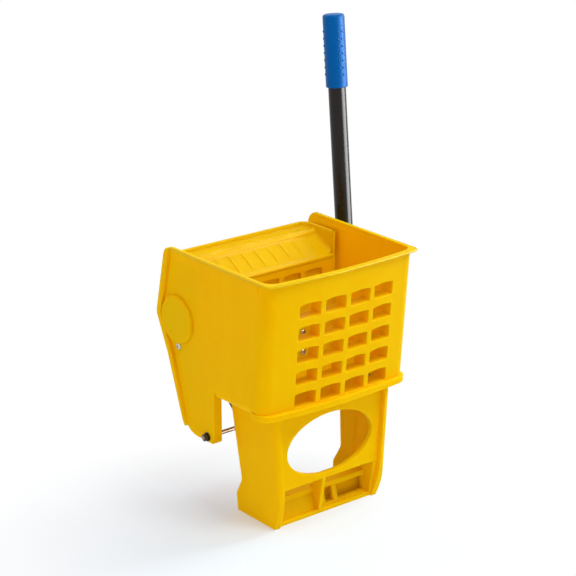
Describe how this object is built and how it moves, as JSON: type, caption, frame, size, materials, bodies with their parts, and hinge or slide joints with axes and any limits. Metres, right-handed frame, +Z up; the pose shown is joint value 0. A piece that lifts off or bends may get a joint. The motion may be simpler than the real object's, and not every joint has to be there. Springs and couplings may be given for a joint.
{
  "type": "side press mop wringer",
  "caption": "Plastic mop wringer basket on an open stand, with a press plate that a side lever swings forward through gears.",
  "frame": {"origin": "on the floor, under the middle of the stand's crossbar", "axes": "+X to the side that has the lever, +Y to the back, from the windowed front wall to the press plate, +Z up"},
  "size_m": [0.332, 0.2577, 0.6449],
  "materials": {
    "yellow_plastic": "satin moulded",
    "dark_plastic": "matte moulded",
    "bearing_plastic": "matte moulded",
    "grip_rubber": "soft matte",
    "lever_metal": "dark gloss coat",
    "axle_metal": "drawn",
    "steel": "zinc plated",
    "spring_steel": "drawn wire"
  },
  "bodies": {
    "frame": {"basket": "yellow_plastic", "stand": "yellow_plastic", "stand_screws": "steel", "left_axle_bush": "dark_plastic", "right_axle_bush": "dark_plastic", "bush_screws": "steel", "bush_nuts": "steel", "tie_rod": "steel", "tie_rod_washers": "steel", "tie_rod_nuts": "steel", "rod_clips": "steel", "left_return_spring": "spring_steel", "right_return_spring": "spring_steel"},
    "lever": {"axle": "axle_metal", "left_drive_gear": "dark_plastic", "right_drive_gear": "dark_plastic", "gear_pins": "steel", "axle_washers": "steel", "axle_circlips": "spring_steel", "hub_washer": "steel", "lever_hub": "dark_plastic", "hub_pin": "steel", "lever_tube": "lever_metal", "lever_bolt": "steel", "lever_nut": "steel", "lever_grip": "grip_rubber"},
    "press": {"press_plate": "yellow_plastic", "left_gear_sector": "dark_plastic", "right_gear_sector": "dark_plastic", "sector_screws": "steel", "left_pivot_bush": "bearing_plastic", "right_pivot_bush": "bearing_plastic"}
  },
  "joints": [
    {"name": "lever_pivot", "type": "hinge", "parent": "frame", "child": "lever", "pos_m": [0, 0.154, 0.2665], "axis": [-1, 0, 0], "range_deg": [0, 90]},
    {"name": "press_pivot", "type": "hinge", "parent": "frame", "child": "press", "pos_m": [0, 0.091, 0.113], "axis": [1, 0, 0], "range_deg": [0, 20], "stiffness_Nm_per_rad": 2, "springref_deg": -42.97, "deforming": ["left_return_spring", "right_return_spring"]}
  ],
  "couplings": [
    {"joint": "press_pivot", "follows": "lever_pivot", "ratio": 0.22222}
  ]
}
